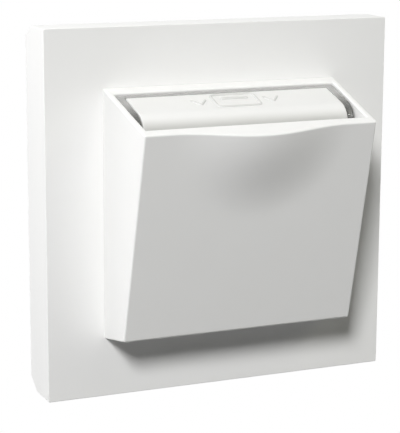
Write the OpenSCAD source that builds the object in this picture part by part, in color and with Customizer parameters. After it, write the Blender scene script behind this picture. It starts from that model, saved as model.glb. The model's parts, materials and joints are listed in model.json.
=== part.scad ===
// Hotel key card switch: a wall switch that a key card works when it is put into the pocket.
// It is drawn on the bench, lying on its back: X right, Y up the wall, Z out of the wall, with
// the wall's face at Z = 0 and the origin at the middle. The last lines hang it up: +Z up, front to -Y.

/* [Cover frame] */
// Side of the square cover frame
frame_size = 88; // [86:0.5:94]
// Distance from the wall to the frame's front
frame_depth = 13.5; // [12.5:0.25:16]
// Thickness of the frame's side walls
frame_wall = 2.2; // [1.6:0.1:2.6]
// Thickness of the frame's front
frame_front = 2.4; // [1.8:0.1:3]
// Height of the bevel along the rear top and bottom edges
bevel_height = 2.7; // [1:0.1:3]
// Depth of that bevel
bevel_depth = 4.3; // [2:0.1:6]
// Gap between the frame's opening and the card holder
opening_gap = 0.25; // [0.2:0.05:0.4]
// Wall of the collar round the opening
collar_wall = 1.6; // [1.2:0.1:1.8]
// Length of that collar behind the frame's front face
collar_length = 7; // [5:0.25:8]
// Radius of the four pegs that stand on the mounting plate
peg_r = 2.2; // [1.9:0.1:2.4]
// Radius of each peg's tip, which sits in a hole of the plate
peg_tip_r = 1.4; // [1:0.1:1.6]

/* [Card holder] */
// Side of the square foot of the card holder
holder_size = 59.7; // [58.5:0.1:60.5]
// How far the pocket's front edge at the top stands out of the frame
pocket_top = 23.9; // [22:0.1:26]
// How far the pocket's front edge at the foot stands out of the frame
pocket_foot = 11.5; // [10.5:0.1:13]
// Fall of the rim from the frame to the front edge
rim_drop = 7.55; // [6.5:0.05:9]
// Rise of the underside from the frame to the front edge
foot_rise = 2.05; // [1:0.05:3]
// Draft of the pocket's sides in degrees
side_draft = 2.35; // [1:0.05:2.6]
// Thickness of the pocket's side walls
side_wall = 1.4; // [1.2:0.05:1.6]
// Thickness of the pocket's front wall
front_wall = 2.8; // [2:0.1:3.2]
// Thickness of the skirt above and below
skirt_wall = 2; // [1.6:0.1:2.4]
// Distance from the mounting plate to the rear edge of the skirt
skirt_lift = 3.5; // [3:0.1:4]
// Width of the rim behind the opening, along its slope
rim_back = 2.95; // [2.5:0.05:3.5]
// Radius of the thumb bulge on the front
bulge_r = 22.2; // [18:0.1:24]
// Height of the thumb bulge
bulge_h = 3.15; // [2:0.05:4]
// Width of each of the four legs that stand on the plate
leg_w = 8; // [7:0.5:10]

/* [Card channel] */
// Width of the channel that the card slides in
channel = 2.2; // [2:0.05:2.6]
// Extra width of the run-in at the top of the channel
run_in = 2.25; // [1.5:0.05:2.6]
// Thickness of the guide behind the channel
guide_t = 1.8; // [1.5:0.1:2.2]
// Thickness of the leaf springs
leaf_t = 0.3; // [0.2:0.05:0.4]
// Bow of the leaf springs
leaf_bow = 1.3; // [1:0.05:1.5]
// Width of the leaf springs
leaf_w = 4; // [3:0.5:6]
// Length of the leaf springs
leaf_length = 22; // [18:0.5:26]

/* [Lens and strip] */
// Depth of the lens below the rim
lens_drop = 0.5; // [0.3:0.05:0.8]
// Thickness of the lens
lens_t = 4.5; // [4:0.1:5]
// Distance along the rim at which the lens starts to roll over
roll_start = 12.8; // [11:0.1:15]
// Clear border on each side of the white strip
strip_side = 1.45; // [1:0.05:3]
// Thickness of the white strip
strip_t = 1; // [0.8:0.05:1.4]
// Clear border behind the white strip
strip_border = 1.5; // [1:0.05:3]

/* [Lever and plunger] */
// Height of the lever's hinge above the middle
pivot_y = 2; // [1:0.1:3]
// Height of the lever's nose
nose_y = -16; // [-17:0.1:-15]
// Height of the plunger's axis
plunger_y = -8; // [-8.5:0.1:-7]
// Swing of the lever in degrees
lever_swing = 9; // [7:0.5:10]
// Width of the lever
lever_w = 6; // [5:0.1:7]
// Thickness of the lever's arm
lever_t = 3; // [2.6:0.1:3.2]
// Radius of the hinge pin
pin_r = 1; // [0.8:0.05:1.2]
// Radius of the plunger's rod
plunger_r = 2.5; // [2.3:0.05:2.7]
// Radius of the plunger's cap
cap_r = 3.4; // [3:0.1:4]

/* [Mounting plate] */
// Thickness of the steel plate
plate_t = 1.5; // [1:0.1:1.8]
// Distance between the two slots for the wall box's screws
box_spacing = 60; // [58:0.5:62]
// Half the width of those slots
slot_r = 1.8; // [1.6:0.05:2.1]
// Length of those slots, end to end
slot_length = 7; // [5.5:0.25:8]

/* [Switch insert] */
// Side of the square base behind the plate
base_size = 42; // [41:0.5:44]
// Depth of the base behind the wall's face
base_depth = 24; // [23:0.5:28]
// Wall of the base
base_wall = 2; // [1.6:0.1:2.2]
// Thickness of the cover's flange in front of the plate
flange_t = 2.5; // [2:0.1:3]
// Radius of the shanks of the cover's screws
screw_r = 1.2; // [1:0.05:1.4]
// Radius of the wire holes in the terminals
wire_r = 1.5; // [1.3:0.05:1.7]
// Height of each terminal block
block_h = 10; // [9:0.25:10.5]
// Thickness of the contact strips and of the bridge
strip_metal = 1; // [0.8:0.05:1.2]
// Radius of the contact tips
tip_r = 1.75; // [1.4:0.05:2]
// Radius of the spring's wire
wire_radius = 0.2; // [0.15:0.05:0.3]
// Turns of the spring
spring_turns = 7; // [5:1:8]

/* [Indicator light] */
// Thickness of the lamp board
board_t = 1.6; // [1.2:0.1:2]
// Width of the lamp board
board_w = 34; // [32:0.5:38]
// Radius of each lamp
led_r = 1.5; // [1.2:0.05:1.6]
// Height of each lamp
led_h = 5.3; // [4.5:0.1:5.6]
// Distance between the two lamps
led_spacing = 26; // [18:0.5:30]

/* [Hidden] */
$fn = 48;

// Clearances
fit_gap = 0.2;
run_gap = 0.05;
screw_gap = 0.4;
past = 1;
sides = [-1, 1];

// Frame
frame_half = frame_size / 2;
bevel_in = frame_half - bevel_height - frame_wall;
wall_in = frame_half - frame_wall;
opening_half = holder_size / 2 + opening_gap;
plate_half = bevel_in - 0.8;
peg_at = plate_half - peg_r - 1;
peg_tip_length = 0.9 * plate_t;

// Pocket: the side view's corners, in Y and Z
foot_half = holder_size / 2;
top_y = foot_half - rim_drop;
top_z = frame_depth + pocket_top;
low_y = foot_rise - foot_half;
low_z = frame_depth + pocket_foot;
front_lean = atan2(top_z - low_z, top_y - low_y);
rim_lean = atan2(rim_drop, pocket_top);
rim_length = norm([rim_drop, pocket_top]);
skirt_back = plate_t + skirt_lift;
skirt_in = foot_half - skirt_wall;
leg_x = foot_half - leg_w;
leg_y = foot_half - skirt_wall / 2;
floor_y = low_y + skirt_wall;
beyond_z = top_z + 4 * bulge_h;

// Z of a plane that lies behind the front face by the given distance
function face_z(y, behind) = top_z + (y - top_y) * tan(front_lean) - behind / cos(front_lean);
// Y and Z of a point that stands out of the rim by t, at s along its slope
function rim_point(t, s) = [foot_half + t * cos(rim_lean) - s * sin(rim_lean),
    frame_depth + t * sin(rim_lean) + s * cos(rim_lean)];
// Half the pocket's width at a height over the wall
function half_width(z) = foot_half - max(z - frame_depth, 0) * tan(side_draft);

// Card channel, as distances behind the front face
guide_face = front_wall + channel;
guide_back = guide_face + guide_t;
foot_w = 12;
foot_inner_x = 14;
foot_reach = 7;
foot_tab_t = 2;
boss_z = skirt_back + 6;
boss_h = 6;
boss_inner_x = 18.8;
guide_screw_x = foot_inner_x + foot_w - 3.6;
guide_screw_y = floor_y + foot_reach / 2;
guide_screw_r = 0.95;
guide_screw_head = 2;
leaf_x = 17;
leaf_top = -14;

// Lens and strip, in the rim's own frame
lens_back = rim_back + fit_gap;
lens_under = lens_drop + lens_t;
guide_s = rim_length - guide_face;
lens_front = guide_s - run_in;
strip_back = lens_back + strip_border;
strip_w = 2 * (half_width(top_z) - side_wall - fit_gap - strip_side);
shelf_t = 2;
shelf_start = 8;

// Lever
arm_gap = 1.6;
arm_in = guide_back + arm_gap;
hub_r = 2.6;
pivot_z = face_z(pivot_y, arm_in + lever_t / 2);
nose_gap = 0.5;
nose_tip_r = 0.8;
nose_z = face_z(nose_y, front_wall + nose_gap) - nose_tip_r;
pad_r = 2;
pad_z = face_z(plunger_y, arm_in + lever_t) - 0.4;
pad_arm = pivot_y - plunger_y;
pad_dip = pivot_z - pad_z;
ear_t = 2;
ear_gap = 0.4;
window_half = lever_w / 2 + 0.6;
window_top = nose_y + 6.5;
window_low = nose_y - 3.5;

// Plunger and contacts
travel = pad_arm * sin(lever_swing) - pad_dip * (1 - cos(lever_swing));
plunger_top = pad_z - pad_r - fit_gap;
cap_t = 2;
boss_r = 5;
boss_top = plate_t + flange_t + 4;
boss_low = -4;
bridge_top = boss_low - fit_gap;
bridge_low = bridge_top - strip_metal;
bridge_half = 13.2;
bridge_w = 5;
stem_r = 1.5;
stem_low = bridge_low - 8;
tip_x = 11;
tip_h = 0.8;
tip_gap = travel + 0.1;
fixed_top = bridge_low - 2 * tip_h - tip_gap;
fixed_low = fixed_top - strip_metal;
inner_half = base_size / 2 - base_wall;
floor_z = base_wall - base_depth;
spring_r = 2.3;

// Terminals
block_w = 8;
block_l = 9;
block_x = inner_half - fit_gap - block_w / 2;
block_top = floor_z + block_h;
clamp_z = floor_z + block_h / 2;
clamp_r = 1.25;
clamp_head_r = 2.1;
contact_out = block_x + 0.4;
wire_way = 2 * wire_r + 2;
wire_reach = block_l / 2 - plunger_y - 0.5;

// Cover and its screws
cut_half = base_size / 2 - 6;
screw_at = base_size / 2 - 3;
corner_boss = 6.5;
corner_depth = 14;
cover_front = plate_t + flange_t;
screw_head_r = 2.6;
screw_head_h = 1.8;

// Lamps and board
lens_corner = rim_point(-lens_under, lens_back);
led_y = lens_corner[0] + 1.1;
led_gap = 0.5;
board_top = lens_corner[1] - led_gap - led_h;
board_low = board_top - board_t;
board_y0 = 3;
board_y1 = led_y + led_r + 0.4;
post_r = 1.8;
posts = [[-14.5, 4.8], [14.5, 4.8], [0, 18]];
lamp_pin_r = 0.6;
lamp_pin_x = block_x - 3;
lamp_pin_y = -plunger_y;
resistor_r = 1.1;
resistor_length = 6.5;
resistor_span = 10;
resistor_y = 12;
lead_r = 0.3;

// Colours
white = [0.93, 0.93, 0.92];
strip_white = [0.97, 0.97, 0.96];
clear = [0.85, 0.9, 0.92, 0.5];
grey = [0.45, 0.46, 0.48];
dark = [0.2, 0.21, 0.22];
steel = [0.72, 0.74, 0.76];
brass = [0.8, 0.66, 0.33];
silver = [0.86, 0.86, 0.84];
board_white = [0.9, 0.91, 0.9];
resin = [0.75, 0.62, 0.45];

// Stands the bench model up against the wall
module hung() {
    rotate([90, 0, 0]) children();
}

// A side view's outline, in Y and Z, drawn out to a width across X
module across(width) {
    rotate([90, 0, 90]) linear_extrude(width, center = true) children();
}

// A top view's outline, in X and Z, drawn out to a height along Y
module upright(height) {
    rotate([90, 0, 0]) linear_extrude(height, center = true) children();
}

// The front face's own frame: Y up the face from its top edge, Z out of it
module in_face() {
    translate([0, top_y, top_z]) rotate([front_lean, 0, 0]) children();
}

// The rim's own frame: Y out of the rim, Z forward along its slope from the frame
module in_rim() {
    translate([0, foot_half, frame_depth]) rotate([rim_lean, 0, 0]) children();
}

// A box between two corners
module box(low, high) {
    translate(low) cube(high - low);
}

// A round bar along X between two places
module bar_x(r, x0, x1) {
    translate([x0, 0, 0]) rotate([0, 90, 0]) cylinder(r = r, h = x1 - x0);
}

// The space that a plan of the pocket takes, drawn in from its outside
module plan_prism(inset, back) {
    upright(3 * holder_size) polygon([
        [foot_half - inset, back],
        [foot_half - inset, frame_depth],
        [half_width(beyond_z) - inset, beyond_z],
        [inset - half_width(beyond_z), beyond_z],
        [inset - foot_half, frame_depth],
        [inset - foot_half, back]]);
}

// Cover frame
module cover_frame() {
    color(white) difference() {
        union() {
            frame_shell();
            box([-1, -1, 0] * (opening_half + collar_wall) + [0, 0, frame_depth - collar_length],
                [1, 1, 0] * (opening_half + collar_wall) + [0, 0, frame_depth - frame_front / 2]);
            for (x = sides, y = sides) translate([x * peg_at, y * peg_at, 0]) frame_peg();
        }
        box([-1, -1, 0] * opening_half - [0, 0, past], [1, 1, 0] * opening_half + [0, 0, frame_depth + past]);
    }
}

module frame_shell() {
    difference() {
        across(frame_size) polygon(frame_side(frame_half - bevel_height, frame_half, 0, frame_depth));
        across(2 * wall_in) polygon(frame_side(bevel_in, wall_in, -past, frame_depth - frame_front));
    }
}

// Side view of the frame, wide in front and narrower at its bevelled back
function frame_side(back_half, front_half, back, front) = [
    [-back_half, back], [-back_half, 0], [-front_half, bevel_depth], [-front_half, front],
    [front_half, front], [front_half, bevel_depth], [back_half, 0], [back_half, back]];

module frame_peg() {
    translate([0, 0, plate_t]) cylinder(r = peg_r, h = frame_depth - frame_front / 2 - plate_t);
    translate([0, 0, plate_t - peg_tip_length]) cylinder(r = peg_tip_r, h = peg_tip_length + past);
}

// Card holder
module card_holder() {
    color(white) difference() {
        union() {
            difference() {
                union() {
                    pocket_outside();
                    thumb_bulge();
                }
                pocket_inside();
            }
            for (x = sides) holder_boss(x);
            for (x = sides, y = sides) holder_leg(x, y);
        }
        for (x = sides) translate([x * guide_screw_x, guide_screw_y, boss_z - past])
            cylinder(r = guide_screw_r + run_gap, h = past + boss_h - 1);
    }
}

module pocket_outside() {
    intersection() {
        across(2 * holder_size) polygon([
            [-foot_half, skirt_back], [-foot_half, frame_depth], [low_y, low_z],
            [top_y, top_z], [foot_half, frame_depth], [foot_half, skirt_back]]);
        plan_prism(0, skirt_back);
    }
}

module pocket_inside() {
    mouth_y = foot_half + 5;
    mouth = rim_point((rim_back * sin(rim_lean) - skirt_wall) / cos(rim_lean), rim_back);
    intersection() {
        across(2 * holder_size) polygon([
            [skirt_wall - foot_half, skirt_back - past],
            [skirt_wall - foot_half, frame_depth],
            [floor_y, face_z(floor_y, front_wall)],
            [mouth_y, face_z(mouth_y, front_wall)],
            rim_point(8, rim_back),
            mouth,
            [skirt_in, skirt_back - past]]);
        plan_prism(side_wall, skirt_back - past);
    }
}

// A bell that swells from nothing at its edge to its full height under the lip
function bell(r) = bulge_h / 2 * (1 + cos(180 * r / bulge_r));

module thumb_bulge() {
    steps = 14;
    root = 0.5 * front_wall;
    intersection() {
        in_face() rotate_extrude($fn = 96) polygon(concat(
            [[0, -root], [bulge_r, -root]],
            [for (i = [steps:-1:0]) [bulge_r * i / steps, bell(bulge_r * i / steps)]]));
        in_rim() box([-holder_size, -2 * holder_size, 0], [holder_size, 0, 2 * rim_length]);
    }
}

module holder_boss(x) {
    // The boss stands on the pocket's floor and side wall
    intersection() {
        box([x > 0 ? boss_inner_x : -foot_half, floor_y - 1.2 * skirt_wall, boss_z],
            [x > 0 ? foot_half : -boss_inner_x, floor_y + foot_reach, boss_z + boss_h]);
        plan_prism(side_wall / 2, skirt_back);
    }
}

module holder_leg(x, y) {
    tip_length = 0.8 * plate_t;
    translate([x * leg_x, y * leg_y, 0]) {
        box([-leg_w, -skirt_wall, 2 * plate_t] / 2, [leg_w / 2, skirt_wall / 2, skirt_back + past]);
        box([-leg_tip_w() / 2, -leg_tip_t() / 2, plate_t - tip_length],
            [leg_tip_w() / 2, leg_tip_t() / 2, plate_t + past]);
    }
}

function leg_tip_w() = leg_w - 3;
function leg_tip_t() = skirt_wall - 0.4;

// Guide behind the card channel
module card_guide() {
    color(white) difference() {
        union() {
            intersection() {
                union() {
                    in_face() box([-holder_size, -2 * holder_size, -guide_back],
                        [holder_size, past, -guide_face]);
                    in_rim() box([-holder_size, -lens_under - shelf_t, shelf_start],
                        [holder_size, -lens_under, guide_s]);
                }
                plan_prism(side_wall + fit_gap, skirt_back);
                in_rim() box([-holder_size, -3 * holder_size, -2 * holder_size],
                    [holder_size, -lens_under, 2 * rim_length]);
                box([-holder_size, floor_y + fit_gap, 0], [holder_size, holder_size, beyond_z]);
            }
            for (x = sides) {
                bearing_ear(x);
                guide_foot(x);
            }
        }
        nose_window();
        in_rim() across(2 * holder_size) polygon([
            [past - lens_under, lens_front - past],
            [past - lens_under, rim_length],
            [lens_front - rim_length - lens_under, rim_length]]);
        translate([0, pivot_y, pivot_z]) bar_x(pin_r + run_gap / 2, -holder_size, holder_size);
        for (x = sides) translate([x * guide_screw_x, guide_screw_y, 0])
            cylinder(r = guide_screw_r + fit_gap, h = boss_z + past);
    }
}

module bearing_ear(x) {
    ear_r = hub_r;
    mid = x * (lever_w / 2 + ear_gap + ear_t / 2);
    translate([mid, 0, 0]) {
        translate([0, pivot_y, pivot_z]) bar_x(ear_r, -ear_t / 2, ear_t / 2);
        across(ear_t) polygon([
            [pivot_y - ear_r, pivot_z], [pivot_y + ear_r, pivot_z],
            [pivot_y + ear_r, face_z(pivot_y + ear_r, guide_face + guide_t / 4)],
            [pivot_y - ear_r, face_z(pivot_y - ear_r, guide_face + guide_t / 4)]]);
    }
}

module guide_foot(x) {
    y0 = floor_y + fit_gap;
    y1 = y0 + foot_reach;
    leg_width = boss_inner_x - fit_gap - foot_inner_x;
    low = boss_z - foot_tab_t;
    translate([x * (foot_inner_x + leg_width / 2), 0, 0]) across(leg_width) polygon([
        [y0, low], [y1, low],
        [y1, face_z(y1, guide_face + guide_t / 4)], [y0, face_z(y0, guide_face + guide_t / 4)]]);
    translate([x * (foot_inner_x + foot_w / 2), 0, 0])
        box([-foot_w / 2, y0, low], [foot_w / 2, y1, boss_z]);
}

module nose_window() {
    box([-window_half, window_low, 0], [window_half, window_top, beyond_z]);
}

module guide_screws() {
    head_h = 1.3;
    under = boss_z - foot_tab_t;
    color(steel) for (x = sides) translate([x * guide_screw_x, guide_screw_y, 0]) difference() {
        union() {
            translate([0, 0, under - head_h]) cylinder(r = guide_screw_head, h = head_h);
            translate([0, 0, under]) cylinder(r = guide_screw_r, h = foot_tab_t + boss_h - 2);
        }
        translate([0, 0, under - head_h]) screw_cross(guide_screw_head, head_h / 2);
    }
}

// A cross that is cut into a screw's head, lying on the plane Z = 0
module screw_cross(head_r, depth) {
    arm = 1.3 * head_r;
    width = 0.3 * head_r;
    cube([arm, width, 2 * depth], center = true);
    cube([width, arm, 2 * depth], center = true);
}

module card_springs() {
    steps = 12;
    arc = [for (i = [0:steps]) [-leaf_length * i / steps, -leaf_bow * sin(180 * i / steps)]];
    back = [for (i = [steps:-1:0]) arc[i] - [0, leaf_t]];
    foot = 3;
    color(steel) for (x = sides) translate([x * leaf_x, 0, 0]) in_face() translate([0, leaf_top, -front_wall])
        across(leaf_w) union() {
            polygon(concat(arc, back));
            translate([-past / 2, -leaf_t]) square([foot, leaf_t]);
            translate([past / 2 - leaf_length - foot, -leaf_t]) square([foot, leaf_t]);
        }
}

// Lens and strip
function roll(t_radius, s_radius) = [for (i = [0:10])
    [t_radius * cos(9 * i) - lens_under, roll_start + s_radius * sin(9 * i)]];

// Outline between the strip's top face and a depth below it
function strip_outline(depth, back) = concat(
    [[-lens_drop, back]],
    roll(lens_t, lens_front - roll_start),
    [for (p = [10:-1:0]) roll(lens_t - depth, lens_front - roll_start - depth)[p]],
    [[-lens_drop - depth, back]]);

module light_lens() {
    seat = strip_t + run_gap;
    color(clear) difference() {
        intersection() {
            in_rim() across(2 * holder_size) polygon(concat(
                [[-lens_under, lens_back], [-lens_drop, lens_back]],
                roll(lens_t, lens_front - roll_start)));
            plan_prism(side_wall + fit_gap, skirt_back);
        }
        in_rim() across(strip_w + 2 * fit_gap) polygon(concat(
            [[past, strip_back - fit_gap], [past, lens_front + past],
                [-lens_under - past, lens_front + past]],
            [for (p = [10:-1:0]) roll(lens_t - seat, lens_front - roll_start - seat)[p]],
            [[-lens_drop - seat, strip_back - fit_gap]]));
    }
}

module label_strip() {
    color(strip_white) in_rim() across(strip_w) polygon(strip_outline(strip_t, strip_back));
}

// Lever and its pin
module card_lever() {
    color(dark) difference() {
        union() {
            translate([0, pivot_y, pivot_z]) bar_x(hub_r, -lever_w / 2, lever_w / 2);
            translate([0, nose_y, nose_z]) bar_x(nose_tip_r, -lever_w / 2, lever_w / 2);
            translate([0, plunger_y, pad_z]) bar_x(pad_r, -lever_w / 2, lever_w / 2);
            across(lever_w) polygon([
                [pivot_y, face_z(pivot_y, arm_in)],
                [nose_y + 6, face_z(nose_y + 6, arm_in)],
                [nose_y + 0.6 * nose_tip_r, nose_z + 0.8 * nose_tip_r],
                [nose_y - nose_tip_r, nose_z],
                [nose_y - 1.5, face_z(nose_y - 1.5, arm_in + lever_t)],
                [pivot_y, face_z(pivot_y, arm_in + lever_t)]]);
            across(lever_w) polygon([
                [plunger_y - 0.9 * pad_r, pad_z],
                [plunger_y + 0.9 * pad_r, pad_z],
                [plunger_y + 0.9 * pad_r, face_z(plunger_y, arm_in + lever_t / 2)],
                [plunger_y - 0.9 * pad_r, face_z(plunger_y, arm_in + lever_t / 2)]]);
        }
        translate([0, pivot_y, pivot_z]) bar_x(pin_r + run_gap, -lever_w, lever_w);
    }
}

module lever_pin() {
    reach = lever_w / 2 + ear_gap + ear_t + 0.5;
    color(steel) translate([0, pivot_y, pivot_z]) bar_x(pin_r, -reach, reach);
}

// Plate
module mounting_plate() {
    corner = 3;
    through = plate_t + 2 * past;
    color(steel) difference() {
        linear_extrude(plate_t) polygon([for (q = [0:3]) each [
            corner_point(q, plate_half, plate_half - corner),
            corner_point(q, plate_half - corner, plate_half)]]);
        box([-cut_half, -cut_half, -past], [cut_half, cut_half, plate_t + past]);
        for (x = sides) translate([x * box_spacing / 2, 0, -past]) box_slot(through);
        for (x = sides, y = sides) {
            translate([x * peg_at, y * peg_at, -past]) cylinder(r = peg_tip_r + fit_gap, h = through);
            translate([x * screw_at, y * screw_at, -past]) cylinder(r = screw_r + screw_gap, h = through);
            translate([x * leg_x, y * leg_y, 0]) box(
                [-leg_tip_w() / 2 - fit_gap, -leg_tip_t() / 2 - fit_gap, -past],
                [leg_tip_w() / 2 + fit_gap, leg_tip_t() / 2 + fit_gap, plate_t + past]);
        }
    }
}

// A corner of a square, turned by quarter turns
function corner_point(q, a, b) = [a * cos(90 * q) - b * sin(90 * q), a * sin(90 * q) + b * cos(90 * q)];

module box_slot(height) {
    half = slot_length / 2 - slot_r;
    for (x = sides) translate([x * half, 0, 0]) cylinder(r = slot_r, h = height);
    box([-half, -slot_r, 0], [half, slot_r, height]);
}

// Base and cover of the switch
module switch_base() {
    half = base_size / 2;
    corner_half = corner_boss / 2;
    boss_at = half - corner_half;
    color(grey) difference() {
        union() {
            difference() {
                box([-half, -half, -base_depth], [half, half, 0]);
                box([-inner_half, -inner_half, floor_z], [inner_half, inner_half, past]);
            }
            for (x = sides, y = sides) translate([x * boss_at, y * boss_at, -corner_depth])
                box([-corner_half, -corner_half, 0], [corner_half, corner_half, corner_depth]);
        }
        for (x = sides, y = sides) {
            translate([x * screw_at, y * screw_at, 2 - corner_depth])
                cylinder(r = screw_r + run_gap, h = corner_depth);
            translate([x * half, y * plunger_y, clamp_z])
                bar_x(clamp_head_r + screw_gap, -base_wall - past, base_wall + past);
        }
        for (x = sides) translate([x * block_x, 0, -base_depth - past])
            box([-wire_way / 2, -wire_reach, 0], [wire_way / 2, wire_reach, base_wall + 2 * past]);
    }
}

module switch_cover() {
    half = base_size / 2;
    plug = cut_half - fit_gap;
    color(white) difference() {
        union() {
            box([-half, -half, plate_t], [half, half, cover_front]);
            box([-plug, -plug, 0], [plug, plug, plate_t + past]);
            translate([0, plunger_y, boss_low]) cylinder(r = boss_r, h = boss_top - boss_low);
            for (p = posts) translate([p[0], p[1], plate_t]) cylinder(r = post_r, h = board_low - plate_t);
        }
        translate([0, plunger_y, boss_low - past])
            cylinder(r = plunger_r + run_gap, h = boss_top - boss_low + 2 * past);
        for (x = sides, y = sides) translate([x * screw_at, y * screw_at, -past])
            cylinder(r = screw_r + screw_gap, h = cover_front + 2 * past);
        for (x = sides) translate([x * lamp_pin_x, lamp_pin_y, -past])
            cylinder(r = lamp_pin_r + fit_gap, h = cover_front + 2 * past);
    }
}

module cover_screws() {
    reach = corner_depth - 4;
    color(steel) for (x = sides, y = sides) translate([x * screw_at, y * screw_at, 0]) difference() {
        union() {
            translate([0, 0, cover_front]) cylinder(r = screw_head_r, h = screw_head_h);
            translate([0, 0, -reach]) cylinder(r = screw_r, h = reach + cover_front + screw_head_h / 2);
        }
        translate([0, 0, cover_front + screw_head_h]) screw_cross(screw_head_r, screw_head_h / 2);
    }
}

// Terminals and contacts
module terminal_blocks() {
    color(brass) for (x = sides, y = sides) translate([x * block_x, y * plunger_y, floor_z]) difference() {
        box([-block_w / 2, -block_l / 2, 0], [block_w / 2, block_l / 2, block_h]);
        translate([0, 0, -past]) cylinder(r = wire_r, h = block_h - 1 + past);
        translate([x * block_w / 2, 0, clamp_z - floor_z])
            bar_x(clamp_r + run_gap, -block_w / 2, block_w / 2);
    }
}

module terminal_screws() {
    tip = wire_r + 0.3;
    head_in = block_w / 2 + 2 * fit_gap;
    head_h = 1.5;
    color(steel) for (x = sides, y = sides) translate([x * block_x, y * plunger_y, clamp_z])
        rotate([0, 0, x > 0 ? 0 : 180]) difference() {
            union() {
                bar_x(clamp_r, tip, head_in + head_h / 2);
                bar_x(clamp_head_r, head_in, head_in + head_h);
            }
            translate([head_in + head_h, 0, 0])
                cube([head_h, 0.35 * clamp_head_r, 3 * clamp_head_r], center = true);
        }
}

module fixed_contacts() {
    inner = tip_x - tip_r - 0.6;
    post = 2;
    color(brass) for (x = sides) translate([0, plunger_y, 0]) rotate([0, 0, x > 0 ? 0 : 180]) {
        box([inner, -bridge_w / 2, fixed_low], [contact_out, bridge_w / 2, fixed_top]);
        box([contact_out - post, -bridge_w / 2, block_top], [contact_out, bridge_w / 2, fixed_top]);
    }
}

module fixed_tips() {
    color(silver) for (x = sides) translate([x * tip_x, plunger_y, fixed_top])
        cylinder(r = tip_r, h = tip_h);
}

module contact_bridge() {
    color(brass) translate([0, plunger_y, 0]) difference() {
        box([-bridge_half, -bridge_w / 2, bridge_low], [bridge_half, bridge_w / 2, bridge_top]);
        translate([0, 0, bridge_low - past]) cylinder(r = stem_r + run_gap, h = strip_metal + 2 * past);
    }
}

module bridge_tips() {
    color(silver) for (x = sides) translate([x * tip_x, plunger_y, bridge_low - tip_h])
        cylinder(r = tip_r, h = tip_h);
}

module plunger() {
    color(white) translate([0, plunger_y, 0]) {
        translate([0, 0, plunger_top - cap_t]) cylinder(r = cap_r, h = cap_t);
        translate([0, 0, bridge_top]) cylinder(r = plunger_r, h = plunger_top - bridge_top);
        translate([0, 0, stem_low]) cylinder(r = stem_r, h = bridge_top - stem_low);
    }
}

// A round wire wound as a helix, as rings of points joined by triangles
module plunger_spring() {
    ring_sides = 6;
    rings_per_turn = 12;
    count = spring_turns * rings_per_turn;
    low = floor_z + wire_radius;
    high = bridge_low - wire_radius;
    pitch = (high - low) / spring_turns;
    points = [for (i = [0:count], k = [0:ring_sides - 1])
        let (turn = 360 * i / rings_per_turn, side = 360 * k / ring_sides)
        let (r = spring_r + wire_radius * cos(side))
        [r * cos(turn), r * sin(turn), low + pitch * i / rings_per_turn + wire_radius * sin(side)]];
    skin = [for (i = [0:count - 1], k = [0:ring_sides - 1])
        let (a = i * ring_sides + k, b = i * ring_sides + (k + 1) % ring_sides)
        each [[a, b, b + ring_sides], [a, b + ring_sides, a + ring_sides]]];
    last = count * ring_sides;
    ends = [for (k = [1:ring_sides - 2]) each [[0, k + 1, k], [last, last + k, last + k + 1]]];
    color(steel) translate([0, plunger_y, 0]) polyhedron(points, concat(skin, ends));
}

// Indicator light
module led_board() {
    color(board_white) difference() {
        box([-board_w / 2, board_y0, board_low], [board_w / 2, board_y1, board_top]);
        for (x = sides) translate([x * lamp_pin_x, lamp_pin_y, board_low - past])
            cylinder(r = lamp_pin_r + fit_gap / 2, h = board_t + 2 * past);
    }
}

module indicator_leds() {
    rim_h = 1;
    rim = 0.3;
    color(clear) for (x = sides) translate([x * led_spacing / 2, led_y, board_top]) {
        cylinder(r = led_r + rim, h = rim_h);
        cylinder(r = led_r, h = led_h - led_r);
        translate([0, 0, led_h - led_r]) sphere(r = led_r);
    }
}

module series_resistor() {
    lift = resistor_r + run_gap;
    color(resin) translate([0, resistor_y, board_top + lift]) {
        bar_x(resistor_r, -resistor_length / 2, resistor_length / 2);
        bar_x(lead_r, -resistor_span / 2, resistor_span / 2);
        for (x = sides) translate([x * (resistor_span / 2 - lead_r), 0, -lift])
            cylinder(r = lead_r, h = lift);
    }
}

module lamp_pins() {
    color(brass) for (x = sides) translate([x * lamp_pin_x, lamp_pin_y, block_top])
        cylinder(r = lamp_pin_r, h = board_top + 0.8 - block_top);
}

hung() mounting_plate();
hung() switch_base();
hung() switch_cover();
hung() cover_screws();
hung() terminal_blocks();
hung() terminal_screws();
hung() fixed_contacts();
hung() fixed_tips();
hung() contact_bridge();
hung() bridge_tips();
hung() plunger();
hung() plunger_spring();
hung() led_board();
hung() indicator_leds();
hung() series_resistor();
hung() lamp_pins();
hung() cover_frame();
hung() card_holder();
hung() card_guide();
hung() guide_screws();
hung() light_lens();
hung() label_strip();
hung() card_springs();
hung() lever_pin();
hung() card_lever();
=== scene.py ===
# %% [markdown]
# # A hotel key card switch, dressed for its photograph
# The CAD model is the frame of this scene: sizes, places and joints come from it, and nothing here moves it.
# The lesson makes new surfaces for the pieces that show in front, gives every other piece a finish of its
# own, and then sets up the floor, the light and the camera.

# %% Load the CAD model
import json
import math

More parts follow.
